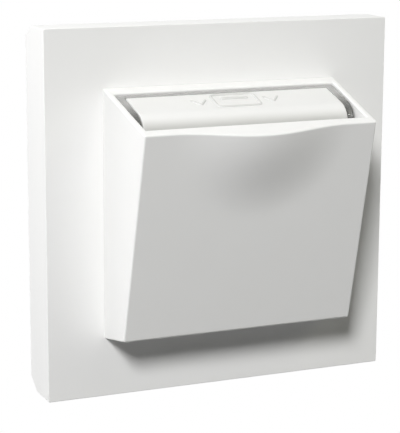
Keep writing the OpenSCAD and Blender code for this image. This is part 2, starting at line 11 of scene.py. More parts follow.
import bmesh
import bpy
import numpy as np
from mathutils import Matrix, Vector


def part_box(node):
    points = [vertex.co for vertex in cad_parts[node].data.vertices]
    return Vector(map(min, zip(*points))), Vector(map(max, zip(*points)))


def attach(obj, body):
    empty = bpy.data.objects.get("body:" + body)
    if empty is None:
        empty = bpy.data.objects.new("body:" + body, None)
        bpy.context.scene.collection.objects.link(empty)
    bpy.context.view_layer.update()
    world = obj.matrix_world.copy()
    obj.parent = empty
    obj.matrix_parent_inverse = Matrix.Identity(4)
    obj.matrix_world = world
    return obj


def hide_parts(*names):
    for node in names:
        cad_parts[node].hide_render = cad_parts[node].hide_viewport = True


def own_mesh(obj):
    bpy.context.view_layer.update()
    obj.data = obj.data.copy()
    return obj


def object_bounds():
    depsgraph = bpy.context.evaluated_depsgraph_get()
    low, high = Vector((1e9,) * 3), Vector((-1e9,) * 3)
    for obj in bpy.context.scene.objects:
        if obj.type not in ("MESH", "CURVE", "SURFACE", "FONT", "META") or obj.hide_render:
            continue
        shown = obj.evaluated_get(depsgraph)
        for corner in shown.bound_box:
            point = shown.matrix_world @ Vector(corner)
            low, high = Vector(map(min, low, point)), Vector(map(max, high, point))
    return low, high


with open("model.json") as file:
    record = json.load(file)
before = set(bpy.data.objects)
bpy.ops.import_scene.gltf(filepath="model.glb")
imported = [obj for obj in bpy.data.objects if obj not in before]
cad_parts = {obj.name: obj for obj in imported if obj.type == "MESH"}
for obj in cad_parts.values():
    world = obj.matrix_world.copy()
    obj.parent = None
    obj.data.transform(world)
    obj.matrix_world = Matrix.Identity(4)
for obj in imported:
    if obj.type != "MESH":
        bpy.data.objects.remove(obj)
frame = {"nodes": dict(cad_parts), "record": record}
cad_box = [list(corner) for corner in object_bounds()]
print("CAD box in metres:", cad_box)

# %% [markdown]
# ## A bench to work on
# The switch hangs on a wall, but it is easier to think of it lying on its back on a bench: x to the right,
# y up the wall and z out of the wall, in millimetres. Every shape below is worked out there as a grid of
# points, and one function hangs the grids up in the CAD model's own frame, in metres.

# %% From bench to wall
MM = 0.001


def hung(bench):
    """Bench points (x, y, z) in mm as points of the part in metres: x stays, z goes to -Y and y to +Z."""
    x, y, z = np.moveaxis(np.asarray(bench, float), -1, 0)
    return np.stack([x, -z, y], axis=-1) * MM


def grid_quads(rows, columns, first):
    """Corner numbers of the quads between neighbours of a grid whose points are numbered from first."""
    number = first + np.arange(rows * columns).reshape(rows, columns)
    corners = [number[:-1, :-1], number[:-1, 1:], number[1:, 1:], number[1:, :-1]]
    return np.stack(corners, axis=-1).reshape(-1, 4)


print("10 mm out of the wall on the bench is", hung((0, 0, 10)).tolist(), "m on the part")

# %% [markdown]
# ## From grids to a closed skin
# A moulded piece is made of several patches that share their edges. Each patch is a grid, and flat ends are
# outlines with one face each. Merging the shared points closes the skin, so that the faces can be turned
# outwards and a Bevel modifier can round every sharp edge as a mould does.

# %% Skins and rounded edges
WELD = 1e-6


def skin(name, grids, outlines=()):
    """One object from grids of bench points and flat outlines: shared points merged, faces turned out."""
    patches = [np.asarray(g, float) for g in [*grids, *(o[None] for o in map(np.asarray, outlines))]]
    starts = np.cumsum([0, *(p.shape[0] * p.shape[1] for p in patches)])
    quads = [grid_quads(*p.shape[:2], s) for p, s in zip(patches[:len(grids)], starts)]
    ends = [range(s, s + p.shape[1]) for p, s in zip(patches[len(grids):], starts[len(grids):])]
    points = np.concatenate([hung(p).reshape(-1, 3) for p in patches])
    mesh = bpy.data.meshes.new(name)
    mesh.from_pydata(points.tolist(), [], np.concatenate(quads).tolist() + [list(e) for e in ends])
    work = bmesh.new()
    work.from_mesh(mesh)
    bmesh.ops.remove_doubles(work, verts=work.verts, dist=WELD)
    bmesh.ops.dissolve_degenerate(work, edges=work.edges, dist=WELD)
    bmesh.ops.recalc_face_normals(work, faces=work.faces)
    open_edges = sum(not e.is_manifold for e in work.edges)
    work.to_mesh(mesh)
    work.free()
    mesh.shade_smooth()
    piece = bpy.data.objects.new(name, mesh)
    bpy.context.scene.collection.objects.link(piece)
    print(f"{name}: {len(mesh.polygons)} faces, {open_edges} open edges")
    return piece


def read(items, label, width=1, kind=float):
    """One property of all items of a mesh as an array, with width numbers a row."""
    values = np.empty(len(items) * width, kind)
    items.foreach_get(label, values)
    return values.reshape(-1, width) if width > 1 else values


def turning_edges(mesh, sharp):
    """Edges of a closed mesh whose two faces turn by more than sharp degrees: normal . normal < cos sharp."""
    face_of_side = np.repeat(np.arange(len(mesh.polygons)), read(mesh.polygons, "loop_total", kind=int))
    pairs = face_of_side[np.argsort(read(mesh.loops, "edge_index", kind=int), kind="stable")].reshape(-1, 2)
    first, second = read(mesh.polygons, "normal", 3)[pairs].transpose(1, 0, 2)
    return np.sum(first * second, axis=1) < math.cos(math.radians(sharp))


def rounded(piece, radius, share=None, segments=3, sharp=30):
    """Rounds every edge that turns by more than sharp degrees to a radius in mm, or to a share of it that
    depends on the edge's middle (x, y, z) on the bench."""
    mesh = piece.data
    ends = read(mesh.vertices, "co", 3)[read(mesh.edges, "vertices", 2, int)]
    x, y, z = (ends.mean(axis=1) / MM).T
    weight = turning_edges(mesh, sharp) * (share(x, z, -y) if share else 1.0)
    mesh.attributes.new("bevel_weight_edge", "FLOAT", "EDGE").data.foreach_set("value", weight)
    bevel = piece.modifiers.new("rounded_edges", "BEVEL")
    bevel.width, bevel.segments, bevel.limit_method = radius * MM, segments, "WEIGHT"
    bevel.use_clamp_overlap = False
    bevel.harden_normals = True
    return piece


print(f"points closer than {WELD / MM:.3f} mm are merged")

# %% [markdown]
# ## Sizes
# The outer sizes are read off the CAD nodes. The walls, gaps and angles that can't be read off a box are the
# same driving sizes as in the part's source, in millimetres and degrees.

# %% Driving sizes
frame_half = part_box("cover_frame")[1].x / MM
frame_depth = -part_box("cover_frame")[0].y / MM
foot_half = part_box("card_holder")[1].x / MM
plate_t = -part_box("mounting_plate")[0].y / MM
frame_wall, frame_front = 2.2, 2.4
bevel_height, bevel_depth = 2.7, 4.3
collar_wall, collar_length = 1.6, 7.0
seam, fit_gap = 0.015, 0.2
pocket_top, pocket_foot = 23.9, 11.5
rim_drop, foot_rise, rim_back = 7.55, 2.05, 2.95
side_draft = math.radians(2.35)
side_wall, front_wall, skirt_wall, skirt_lift = 1.4, 2.8, 2.0, 3.5
bulge_r, bulge_h = 22.2, 3.15
print(f"frame {2 * frame_half:.1f} mm square, {frame_depth:.1f} mm deep; pocket foot {2 * foot_half:.1f} mm")

# %% [markdown]
# ## Cover frame
# The frame is a hollow square picture frame of white plastic: front, side walls, a collar round the opening
# and four pegs at the back. Its cross-section is the same all the way round, apart from a bevel along the
# rear top and bottom edges, so it is a profile carried along a rounded square.

# %% A profile carried round a square
CORNER_STEPS = 5


def carried_round(half_x, half_y, z_x, z_y, corner):
    """Each profile point runs round a rounded square, centre + corner * (cos a, sin a) with a as the turn.
    Its height blends from the side's to the top's profile as z_x cos^2 a + z_y sin^2 a."""
    quarter = np.arange(4)[:, None] * 90
    a = np.radians(quarter + np.linspace(0, 90, CORNER_STEPS)).ravel()
    middle = np.radians(np.repeat(quarter + 45, CORNER_STEPS))
    profile = [np.asarray(value, float)[:, None] for value in (half_x, half_y, z_x, z_y, corner)]
    half_x, half_y, z_x, z_y, corner = profile
    x = np.sign(np.cos(middle)) * (half_x - corner) + corner * np.cos(a)
    y = np.sign(np.sin(middle)) * (half_y - corner) + corner * np.sin(a)
    z = z_x * np.cos(a) ** 2 + z_y * np.sin(a) ** 2
    grid = np.stack([x, y, z], axis=-1)
    grid = np.concatenate([grid, grid[:1]])
    return np.concatenate([grid, grid[:, :1]], axis=1)


def turned(profile, middle, sides=32):
    """A profile of (radius, z) turned about an upright axis: x + r cos a, y + r sin a, z."""
    a = np.radians(np.linspace(0, 360, sides + 1))
    r, z = np.asarray(profile, float).T[..., None]
    return np.stack([middle[0] + r * np.cos(a), middle[1] + r * np.sin(a), z + 0 * a], axis=-1)


print("each profile point becomes a loop of", 4 * CORNER_STEPS + 1, "points")

# %% The frame's profile and pegs
FRAME_CORNER, OPENING_CORNER = 0.35, 0.5
FRAME_ROUNDING, OPENING_SHARE = 0.25, 0.03
opening_half = foot_half + seam
wall_in = frame_half - frame_wall
front_in = frame_depth - frame_front
collar_out = opening_half + collar_wall
collar_end = frame_depth - collar_length
profile_z = [0, bevel_depth, frame_depth, frame_depth, collar_end,
             collar_end, front_in, front_in, bevel_depth, 0]
profile_x = [frame_half] * 3 + [opening_half] * 2 + [collar_out] * 2 + [wall_in] * 3
profile_y = np.array(profile_x)
profile_y[[0, -1]] -= bevel_height
profile_corner = [FRAME_CORNER] * 3 + [OPENING_CORNER] * 7
peg_r, peg_tip_r, peg_room = 2.2, 1.4, 1.8
peg_at = wall_in - bevel_height - peg_r - peg_room
peg_end, peg_root = 0.1 * plate_t, front_in + frame_front / 2
peg = [(0, peg_end), (peg_tip_r, peg_end), (peg_tip_r, plate_t),
       (peg_r, plate_t), (peg_r, peg_root), (0, peg_root)]
pegs = [turned(peg, (x * peg_at, y * peg_at)) for x in (-1, 1) for y in (-1, 1)]
frame_grid = carried_round(profile_x, profile_y, profile_z, profile_z, profile_corner)


def frame_rounding(x, y, z):
    """Full rounding outside, and nearly none where the opening's front edge meets the pocket."""
    at_opening = (np.maximum(abs(x), abs(y)) < collar_out) & (z > front_in)
    return np.where(at_opening, OPENING_SHARE, 1.0)


cover_frame = rounded(skin("cover_frame_moulding", [frame_grid, *pegs]), FRAME_ROUNDING, frame_rounding)

# %% [markdown]
# ## Card holder
# The pocket stands out of the frame like a letter box. Its side view is a polygon with a leaning front and a
# sloping rim, and its width narrows a little towards the front, as a moulding must. So each patch is worked
# out in the side view first, as (y, z), and then spread over a share u of the width.

# %% The pocket's side view
foot_back = np.array([foot_half, frame_depth])
foot_low = np.array([-foot_half, frame_depth])
top = np.array([foot_half - rim_drop, frame_depth + pocket_top])
low = np.array([foot_rise - foot_half, frame_depth + pocket_foot])
front_lean = math.atan2(*(top - low)[::-1])
rim_lean = math.atan2(rim_drop, pocket_top)
rim_length = math.hypot(rim_drop, pocket_top)
rim_out = np.array([0, -math.sin(rim_lean), math.cos(rim_lean)])
skirt_back = plate_t + skirt_lift


def rim_point(t, s):
    """Side view point (y, z) that stands out of the rim by t, at s along its slope from the frame."""
    t, s = np.broadcast_arrays(t, s)
    y = foot_half + t * math.cos(rim_lean) - s * math.sin(rim_lean)
    return np.stack([y, frame_depth + t * math.sin(rim_lean) + s * math.cos(rim_lean)], axis=-1)


def half_width(z):
    """Half the pocket's width: constant behind the frame's front, then less in proportion to z."""
    return foot_half - np.maximum(z - frame_depth, 0) * math.tan(side_draft)


def spread(u, side_view, inset=0.0):
    """Bench points at a share u of the half width, less an inset, over points (y, z) of the side view."""
    side_view = np.asarray(side_view, float)
    u, y, z = np.broadcast_arrays(u, side_view[..., 0], side_view[..., 1])
    return np.stack([u * (half_width(z) - inset), y, z], axis=-1)


print(f"front leans by {math.degrees(front_lean):.1f}, rim slopes by {math.degrees(rim_lean):.1f} degrees")

# %% The thumb bulge
def bell(r):
    """Height of the bulge at a distance r from its middle: h / 2 * (1 + cos(180 r / R)), and 0 past R."""
    return bulge_h / 2 * (1 + np.cos(np.pi * np.minimum(r / bulge_r, 1)))


def swollen(points):
    """Moves points of the front out along the rim's slope by the bell, so that the lip stays in the rim."""
    middle = np.array([0, *top])
    height = bell(np.linalg.norm(points - middle, axis=-1)) / math.cos(rim_lean - front_lean)
    return points + height[..., None] * rim_out


print(f"bulge: {bell(0):.2f} mm in the middle, {bell(bulge_r / 2):.2f} mm half way out")

# %% [markdown]
# ## Patches of the pocket
# Most patches are ruled surfaces: straight lines between two edges of the side view. The inner side walls
# have four edges of different shape, so they are Coons patches, which add the two ruled surfaces and take
# away the one that both have in common. The shares u, v and w run across, down and from front to back.

# %% Ruled and Coons surfaces
def between(first, last, share):
    """Points on straight lines from first to last: (1 - share) * first + share * last."""
    share = np.asarray(share)[..., None]
    return (1 - share) * np.asarray(first) + share * np.asarray(last)


def coons(start, end, first, last):
    """Surface over four edges: lines from start to end, plus lines from first to last, less the flat quad."""
    i = np.linspace(0, 1, len(first))[None, :, None]
    j = np.linspace(0, 1, len(start))[:, None, None]
    along = (1 - i) * start[:, None] + i * end[:, None]
    down = (1 - j) * first[None] + j * last[None]
    flat = (1 - j) * ((1 - i) * start[0] + i * end[0]) + j * ((1 - i) * start[-1] + i * end[-1])
    return along + down - flat


def block(low_corner, high_corner):
    """The six sides of a box between two bench corners, as grids of two by two points."""
    ends = np.stack([low_corner, high_corner]).astype(float)
    corners = np.stack(np.meshgrid(*ends.T, indexing="ij"), axis=-1)
    return [np.take(corners, side, axis=axis) for axis in range(3) for side in (0, 1)]


print("half way from (0, 0) to (2, 4):", between((0, 0), (2, 4), 0.5).tolist())

# %% Outer patches
ACROSS, DOWN, DEEP = 65, 55, 25
u, v, w = np.linspace(-1, 1, ACROSS), np.linspace(0, 1, DOWN), np.linspace(0, 1, DEEP)
front = swollen(spread(u, between(top, low, v)[:, None]))
back_edge = between(foot_back, foot_low, v)
side_faces = [spread(x, between(between(top, low, v)[:, None], back_edge[:, None], w)) for x in (-1, 1)]
underside = spread(u, between(low, foot_low, w)[:, None])
lift = np.array([0, skirt_back - frame_depth])
skirt_sides = [spread(x, np.stack([back_edge, back_edge + lift])) for x in (-1, 1)]
skirt_ends = [spread(u, np.stack([end, end + lift])[:, None]) for end in (foot_back, foot_low)]
outer_patches = [front, *side_faces, underside, *skirt_sides, *skirt_ends]
print("outer patches:", [patch.shape[:2] for patch in outer_patches])

# %% Rim and rear edge
lip_in = rim_length - front_wall / math.cos(rim_lean - front_lean)
mouth_back, mouth_front = rim_point(0, rim_back), rim_point(0, lip_in)


def rim_loop(back, ahead, inset):
    """A closed loop in the rim: along the back edge, down the right side, along the front, up the left."""
    sides = between(back, ahead, w)
    loops = [spread(u, back, inset), spread(1, sides, inset), spread(-u, ahead, inset)]
    return np.concatenate([*loops, spread(-1, sides[::-1], inset)])


def rear_loop(half_y, inset):
    """A closed loop at the skirt's rear edge: top edge, right side, bottom edge and left side."""
    ends = np.array([[half_y, skirt_back], [-half_y, skirt_back]])
    sides = between(ends[0], ends[1], v)
    loops = [spread(u, ends[0], inset), spread(1, sides, inset), spread(-u, ends[1], inset)]
    return np.concatenate([*loops, spread(-1, sides[::-1], inset)])


skirt_in = foot_half - skirt_wall
rim = np.stack([swollen(rim_loop(foot_back, top, 0)), rim_loop(mouth_back, mouth_front, side_wall)])
rear = np.stack([rear_loop(foot_half, 0), rear_loop(skirt_in, side_wall)])
print(f"mouth from {rim_back:.2f} to {lip_in:.2f} mm along the rim")

# %% Inner patches
floor_y = low[0] + skirt_wall
front_inside = top[1] - front_wall / math.cos(front_lean)
floor_front = np.array([floor_y, front_inside + (floor_y - top[0]) * math.tan(front_lean)])
floor_bend = np.array([-skirt_in, frame_depth])
rear_top, rear_low = np.array([skirt_in, skirt_back]), np.array([-skirt_in, skirt_back])
mouth_fall = (rim_back * math.sin(rim_lean) - skirt_wall) / math.cos(rim_lean)
mouth_path = np.stack([mouth_back, rim_point(mouth_fall, rim_back), rear_top])
floor_path = np.concatenate([between(floor_front, floor_bend, w), [(floor_bend + rear_low) / 2, rear_low]])
rim_path = np.concatenate([between(mouth_front, mouth_back, w), mouth_path[1:]])
inner_side = coons(between(mouth_front, floor_front, v), between(rear_top, rear_low, v), rim_path, floor_path)
inner_front = spread(u, between(mouth_front, floor_front, v)[:, None], side_wall)
inner_sides = [spread(x, inner_side, side_wall) for x in (-1, 1)]
inner_ends = [spread(u, path[:, None], side_wall) for path in (floor_path, mouth_path)]
inner_patches = [inner_front, *inner_sides, *inner_ends]
print(f"pocket floor at y = {floor_y:.2f} mm, its front end at z = {floor_front[1]:.2f} mm")

# %% Legs, bosses and the finished holder
HOLDER_ROUNDING = 0.45
leg_w, leg_tip_w, leg_tip_t, overlap = 8.0, 5.0, 1.6, 1
leg_at = np.array([foot_half - leg_w, foot_half - skirt_wall / 2])
leg_half, tip_half = np.array([leg_w, skirt_wall]) / 2, np.array([leg_tip_w, leg_tip_t]) / 2
leg_end = 0.2 * plate_t
boss_inner, boss_lift, boss_h, boss_reach, boss_sink = 18.8, 6, 6.0, 7.0, 1.2 * skirt_wall
boss_back = skirt_back + boss_lift
blocks = []
for x in (-1, 1):
    for y in (-1, 1):
        place = leg_at * [x, y]
        blocks += block([*(place - leg_half), plate_t], [*(place + leg_half), skirt_back + overlap])
        blocks += block([*(place - tip_half), leg_end], [*(place + tip_half), plate_t + overlap])
    inner, outer = sorted((x * boss_inner, x * (foot_half - side_wall / 2)))
    blocks += block([inner, floor_y - boss_sink, boss_back],
                    [outer, floor_y + boss_reach, boss_back + boss_h])
holder_grids = [*outer_patches, rim, rear, *inner_patches, *blocks]
card_holder = rounded(skin("card_holder_moulding", holder_grids), HOLDER_ROUNDING)

# %% [markdown]
# ## Lens and strip
# In the pocket's mouth lies a clear block, and a white strip sits in its top and rolls over the front edge
# into the slot. Both are side profiles drawn out across the width. The roll is a quarter of an ellipse.

# %% The rolled profile
lens_drop, lens_t, roll_start, roll_points = 0.5, 4.5, 12.8, 25
channel, run_in = 2.2, 2.25
strip_t, strip_border, strip_side, seat_gap = 1.0, 1.5, 1.45, 0.05
lens_under = lens_drop + lens_t
lens_back = rim_back + fit_gap
lens_front = rim_length - front_wall - channel - run_in
strip_back = lens_back + strip_border
strip_half = half_width(top[1]) - side_wall - fit_gap - strip_side
roll_turn = np.radians(np.linspace(0, 90, roll_points))


def roll(depth, start):
    """Profile points (t, s): flat from start to the roll, then (lens_t - d) cos a and (length - d) sin a."""
    t = (lens_t - depth) * np.cos(roll_turn) - lens_under
    s = roll_start + (lens_front - roll_start - depth) * np.sin(roll_turn)
    return np.concatenate([[(t[0], start)], np.stack([t, s], axis=-1)])


def in_mouth(x, profile):
    """Bench points over profile points (t, s) of the rim, at a distance x from the middle."""
    side_view = rim_point(profile[..., 0], profile[..., 1])
    return np.stack(np.broadcast_arrays(x, side_view[..., 0], side_view[..., 1]), axis=-1)


def lens_edge(profile):
    """Bench points of a profile on the lens's right end, a gap inside the pocket's side wall."""
    return spread(1, rim_point(profile[..., 0], profile[..., 1]), side_wall + fit_gap)


print(f"the roll runs from {roll_start:.1f} to {lens_front:.2f} mm; strip {2 * strip_half:.1f} mm wide")

# %% Clear lens
LENS_ROUNDING = 0.3
seat_half, seat_back, seat_depth = strip_half + fit_gap, strip_back - fit_gap, strip_t + seat_gap
crown, seat = roll(0, seat_back), roll(seat_depth, seat_back)
ledge = np.array([[-lens_under, lens_back], [-lens_drop, lens_back], [-lens_drop, seat_back]])
foot_line = np.array([[-lens_under, lens_back], [-lens_under, seat[-1, 1]], [-lens_under, lens_front]])
mirror = np.array([-1, 1, 1])
border_top = np.concatenate([ledge, crown[1:]])
middle_line = np.concatenate([ledge, seat, foot_line[:2][::-1]])
lens_grids = [in_mouth(np.array([[-1], [1]]) * seat_half, middle_line[None])]
for side in (mirror, 1):
    lens_grids.append(side * np.stack([in_mouth(seat_half, border_top), lens_edge(border_top)]))
    lens_grids.append(side * np.stack([in_mouth(seat_half, foot_line), lens_edge(foot_line)]))
    lens_grids.append(side * np.stack([in_mouth(seat_half, crown), in_mouth(seat_half, seat)]))
lens_end = np.concatenate([border_top, foot_line[1:2]])
lens_outlines = [side * lens_edge(lens_end) for side in (mirror, 1)]
light_lens = rounded(skin("light_lens_block", lens_grids, lens_outlines), LENS_ROUNDING)

# %% White strip
STRIP_ROUNDING = 0.25
strip_top, strip_under = roll(0, strip_back), roll(strip_t, strip_back)
strip_outline = np.concatenate([strip_top, strip_under[::-1]])
strip_loop = np.concatenate([strip_outline, strip_outline[:1]])
strip_grid = in_mouth(np.array([[-1], [1]]) * strip_half, strip_loop[None])
strip_ends = [in_mouth(x * strip_half, strip_outline) for x in (-1, 1)]
label_strip = rounded(skin("label_strip_moulding", [strip_grid], strip_ends), STRIP_ROUNDING)

# %% [markdown]
# ## A mark on the strip
# The strip tells a guest where the card goes. A plain pictogram does that: the outline of a card with its
# stripe, and an arrow head on each side that points to the slot. Each line is a low round bead carried along
# a path on the strip.

# %% Beads along a path
def bead(path, width=0.7, height=0.25, sides=12, closed=False):
    """A low round bead along a path (x, s): across by width / 2 * cos a, up by height * sin a, flatter below.
    The open ends taper to a point over one step."""
    path = np.concatenate([path, path[:1]]) if closed else np.asarray(path, float)
    along = np.gradient(path, axis=0)
    if closed:
        along[[0, -1]] = path[1] - path[-2]
    along /= np.linalg.norm(along, axis=1, keepdims=True)
    normal = np.stack([-along[:, 1], along[:, 0]], axis=-1)
    taper = np.ones(len(path))
    taper[[0, -1]] = 1.0 if closed else 0.0
    a = np.radians(np.linspace(0, 360, sides + 1))
    reach = taper[:, None] * width / 2 * np.cos(a)
    x = path[:, :1] + normal[:, :1] * reach
    s = path[:, 1:] + normal[:, 1:] * reach
    rise = taper[:, None] * np.where(np.sin(a) > 0, height, height / 3) * np.sin(a)
    return in_mouth(x, np.stack([rise - lens_drop, s], axis=-1))


def dense(corners, step=0.35):
    """Points along straight stretches between corners, about one step apart."""
    corners = np.asarray(corners, float)
    lengths = np.linalg.norm(np.diff(corners, axis=0), axis=1)
    at = np.concatenate([[0], np.cumsum(lengths)])
    places = np.linspace(0, at[-1], max(3, int(at[-1] / step)))
    return np.stack([np.interp(places, at, corners[:, k]) for k in (0, 1)], axis=-1)


print("a straight stretch of 3.5 mm gets", len(dense([(0, 0), (3.5, 0)])), "points")

# %% Card and arrows
CARD_SIZE, CARD_CORNER, CORNER_POINTS = np.array([11.0, 6.2]), 1.1, 9
STRIPE, STRIPE_WIDTH = np.array([[-0.33, -0.17], [0.33, -0.17]]), 1.1
ARROW, ARROW_AT, ARROW_SIZE = np.array([[-0.75, -0.4], [0, 0.6], [0.75, -0.4]]), 9.2, 2.6
mark_middle = np.array([0, (strip_back + roll_start) / 2])
quarters = np.arange(4) * 90
corner_a = np.radians(quarters[:, None] + np.linspace(0, 90, CORNER_POINTS)).ravel()
round_a = np.stack([np.cos(corner_a), np.sin(corner_a)], axis=-1)
side_a = np.radians(np.repeat(quarters + 45, CORNER_POINTS))
card_at = np.sign(np.stack([np.cos(side_a), np.sin(side_a)], axis=-1)) * (CARD_SIZE / 2 - CARD_CORNER)
mark_grids = [bead(mark_middle + card_at + CARD_CORNER * round_a, closed=True),
              bead(mark_middle + dense(STRIPE * CARD_SIZE), STRIPE_WIDTH)]
mark_grids += [bead(mark_middle + dense(ARROW * ARROW_SIZE + [x * ARROW_AT, 0])) for x in (-1, 1)]
strip_mark = skin("strip_mark", mark_grids)

# %% [markdown]
# ## Return spring
# A coil spring behind the plunger opens the contacts again when the card is drawn. It is a round wire
# carried along a helix, and its end turns lie closer, as on a real compression spring. It is a skin of its
# own.

# %% A wire along a helix
WIRE_R, TURNS, CLOSER = 0.2, 7, 0.6
TURN_STEPS, WIRE_SIDES = 24, 10
spring_low, spring_high = (np.array(corner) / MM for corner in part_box("plunger_spring"))
coil_r = (spring_high[0] - spring_low[0]) / 2 - WIRE_R
spring_length = spring_high[1] - spring_low[1]


def helix(share, a):
    """Wire points at a share of the way: the turn is 360 degrees * TURNS * share, the height share - CLOSER *
    sin(360 share) / 360 degrees of the free length, and the wire's own circle adds r cos a and r sin a."""
    turn = 2 * np.pi * TURNS * share
    r = coil_r + WIRE_R * np.cos(a)
    along = (share - CLOSER * np.sin(2 * np.pi * share) / (2 * np.pi)) * (spring_length - 2 * WIRE_R)
    y = (spring_low[2] + spring_high[2]) / 2 + r * np.sin(turn)
    z = along - spring_high[1] + WIRE_R + WIRE_R * np.sin(a)
    return np.stack(np.broadcast_arrays(r * np.cos(turn), y, z), axis=-1)


way = np.linspace(0, 1, TURN_STEPS * TURNS + 1)[:, None]
wire = helix(way, np.radians(np.linspace(0, 360, WIRE_SIDES + 1)))
return_spring = skin("return_spring", [wire], [wire[0, :-1], wire[-1, :-1]])
print(f"spring: {TURNS} turns of {2 * WIRE_R:.1f} mm wire, {spring_length:.2f} mm long")

# %% [markdown]
# ## Which piece stands for which node
# Every new piece rides on the CAD body of the node that it stands for, so the pieces follow the joints. The
# mark belongs to the strip, which is on the holder too.

# %% Ride and replace
new_pieces = [
    (cover_frame, "frame", "white_plastic", "cover_frame"),
    (card_holder, "holder", "white_plastic", "card_holder"),
    (light_lens, "holder", "clear_lens", "light_lens"),
    (label_strip, "holder", "white_strip", "label_strip"),
    (strip_mark, "holder", "white_strip", None),
    (return_spring, "insert", "spring_steel", "plunger_spring"),
]
for piece, body, slot, node in new_pieces:
    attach(piece, body)
    if node:
        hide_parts(node)
print("new pieces:", [piece.name for piece, *_ in new_pieces])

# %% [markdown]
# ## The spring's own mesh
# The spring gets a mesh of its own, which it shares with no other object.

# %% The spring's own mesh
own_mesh(return_spring)

# %% [markdown]
# ## Edges of the hidden pieces
# The pieces behind the cover keep their CAD shape. Their meshes are loose triangles with knife edges, so a
# Weld joins the triangles, a planar Decimate drops the lines inside flat faces, and a small Bevel breaks the
# edges, as tumbling does with a stamping and a mould's radius with a moulding.

# %% Broken edges
BROKEN_EDGES = {"switch_base": 0.35, "switch_cover": 0.3, "mounting_plate": 0.15, "card_guide": 0.25,
                "terminal_blocks": 0.15, "card_lever": 0.15, "led_board": 0.1}
FLAT_TURN, EDGE_TURN, EDGE_STEPS = math.radians(1), math.radians(35), 2
for name, radius in BROKEN_EDGES.items():
    node = frame["nodes"][name]
    weld = node.modifiers.new("joined_triangles", "WELD")
    weld.merge_threshold = WELD
    flat = node.modifiers.new("flat_faces", "DECIMATE")
    flat.decimate_type, flat.angle_limit = "DISSOLVE", FLAT_TURN
    edge = node.modifiers.new("broken_edges", "BEVEL")
    edge.width, edge.segments = radius * MM, EDGE_STEPS
    edge.limit_method, edge.angle_limit = "ANGLE", EDGE_TURN
    edge.use_clamp_overlap = False
    edge.harden_normals = True
print("broken edges on:", sorted(BROKEN_EDGES))

# %% [markdown]
# ## Finishes
# A finish is a Principled shader fed by a shared node group. The group for mouldings makes the faint clouding
# and the fine grain of a mould's skin. The group for metals makes drawn or rolled streaks. Both read Object
# coordinates in metres, so a scale of 1000 means a pattern about a millimetre wide.

# %% Node group helpers
def new_group(name, inputs, outputs):
    """A shader node group with named sockets, given as (name, type, default)."""
    group = bpy.data.node_groups.new(name, "ShaderNodeTree")
    for label, kind, value in inputs:
        group.interface.new_socket(name=label, in_out="INPUT", socket_type=kind).default_value = value
    for label, kind in outputs:
        group.interface.new_socket(name=label, in_out="OUTPUT", socket_type=kind)
    return group, group.nodes.new("NodeGroupInput"), group.nodes.new("NodeGroupOutput")


def add(nodes, kind, **settings):
    """A new node with its settings: attributes by name, and input values in the dictionary called values."""
    node = nodes.new(kind)
    for label, value in settings.pop("values", {}).items():
        node.inputs[label].default_value = value
    for label, value in settings.items():
        setattr(node, label, value)
    return node


def mixed(tree, factor, first, second, blend="MIX"):
    """The socket of a colour mix: (1 - factor) * first + factor * second, each a socket or a plain value."""
    mix = add(tree.nodes, "ShaderNodeMix", data_type="RGBA", blend_type=blend)
    for socket, value in zip((mix.inputs[0], mix.inputs[6], mix.inputs[7]), (factor, first, second)):
        if isinstance(value, bpy.types.NodeSocket):
            tree.links.new(value, socket)
        else:
            socket.default_value = value
    return mix.outputs[2]


def uneven(group, given, pattern):
    """The socket of a roughness that follows a pattern: Roughness + Spread * (pattern - 0.5)."""
    centred = add(group.nodes, "ShaderNodeMath", operation="SUBTRACT", values={1: 0.5})
    spread_out = add(group.nodes, "ShaderNodeMath", operation="MULTIPLY_ADD")
    group.links.new(pattern, centred.inputs[0])
    sources = (centred.outputs[0], given.outputs["Spread"], given.outputs["Roughness"])
    for source, socket in zip(sources, spread_out.inputs):
        group.links.new(source, socket)
    return spread_out.outputs[0]


COLOUR, NUMBER = "NodeSocketColor", "NodeSocketFloat"
PATTERN = [("Colour", COLOUR), ("Roughness", NUMBER), ("Height", NUMBER)]
print("each group gives out:", [label for label, _ in PATTERN])

# %% Moulded skin group
moulded_skin, given, made = new_group(
    "moulded_skin",
    [("Colour", COLOUR, (0.8, 0.8, 0.8, 1)), ("Shade", COLOUR, (0.75, 0.75, 0.75, 1)),
     ("Roughness", NUMBER, 0.35), ("Spread", NUMBER, 0.08),
     ("Cloud Scale", NUMBER, 60.0), ("Grain Scale", NUMBER, 2500.0)], PATTERN)
n, link = moulded_skin.nodes, moulded_skin.links.new
where = add(n, "ShaderNodeTexCoord")
cloud = add(n, "ShaderNodeTexNoise", values={"Detail": 3.0, "Roughness": 0.55})
grain = add(n, "ShaderNodeTexNoise", values={"Detail": 2.0, "Roughness": 0.6})
for noise, scale in ((cloud, "Cloud Scale"), (grain, "Grain Scale")):
    link(where.outputs["Object"], noise.inputs["Vector"])
    link(given.outputs[scale], noise.inputs["Scale"])
tint = mixed(moulded_skin, cloud.outputs["Fac"], given.outputs["Colour"], given.outputs["Shade"])
link(tint, made.inputs["Colour"])
link(uneven(moulded_skin, given, cloud.outputs["Fac"]), made.inputs["Roughness"])
link(grain.outputs["Fac"], made.inputs["Height"])
print(f"{moulded_skin.name}: {len(n)} nodes")

